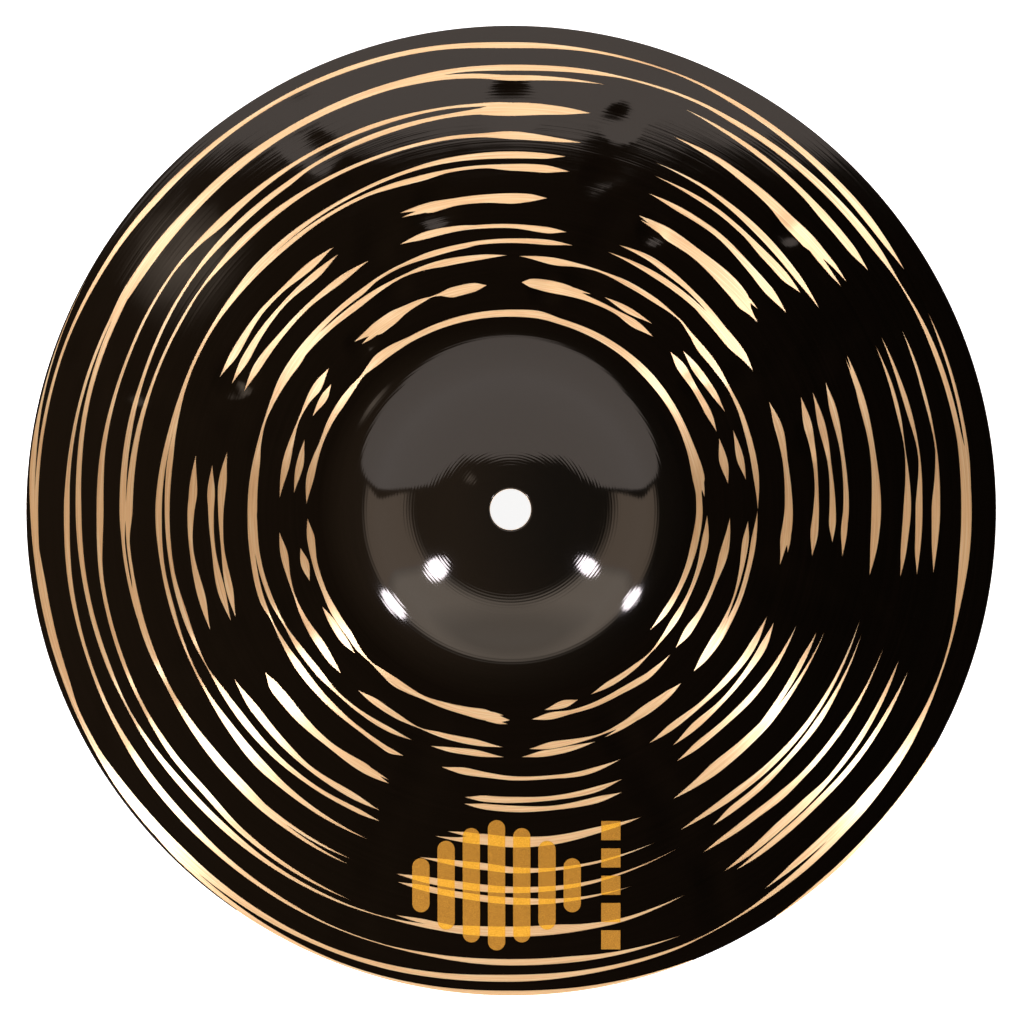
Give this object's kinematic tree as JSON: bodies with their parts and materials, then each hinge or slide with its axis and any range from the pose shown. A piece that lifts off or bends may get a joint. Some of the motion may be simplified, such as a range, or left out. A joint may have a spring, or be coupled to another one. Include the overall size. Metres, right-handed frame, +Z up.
{
  "type": "crash cymbal",
  "caption": "Small thin round crash cymbal: a bronze plate with a domed bell, a gently curved bow, a plain centre hole, a dark finish and a bare rim.",
  "frame": {"origin": "centre of the circle on which the rim rests, straight below the mounting hole", "axes": "+Z up along the axis of the round plate, out of the top of the bell; -Y towards the printed emblem"},
  "size_m": [0.3048, 0.3048, 0.0324],
  "materials": {
    "bronze": "satin",
    "dark_finish": "gloss",
    "gold_ink": "satin"
  },
  "bodies": {
    "root": {"cymbal_plate": "bronze", "dark_finish_top": "dark_finish", "dark_finish_underside": "dark_finish", "printed_emblem": "gold_ink"}
  },
  "joints": []
}
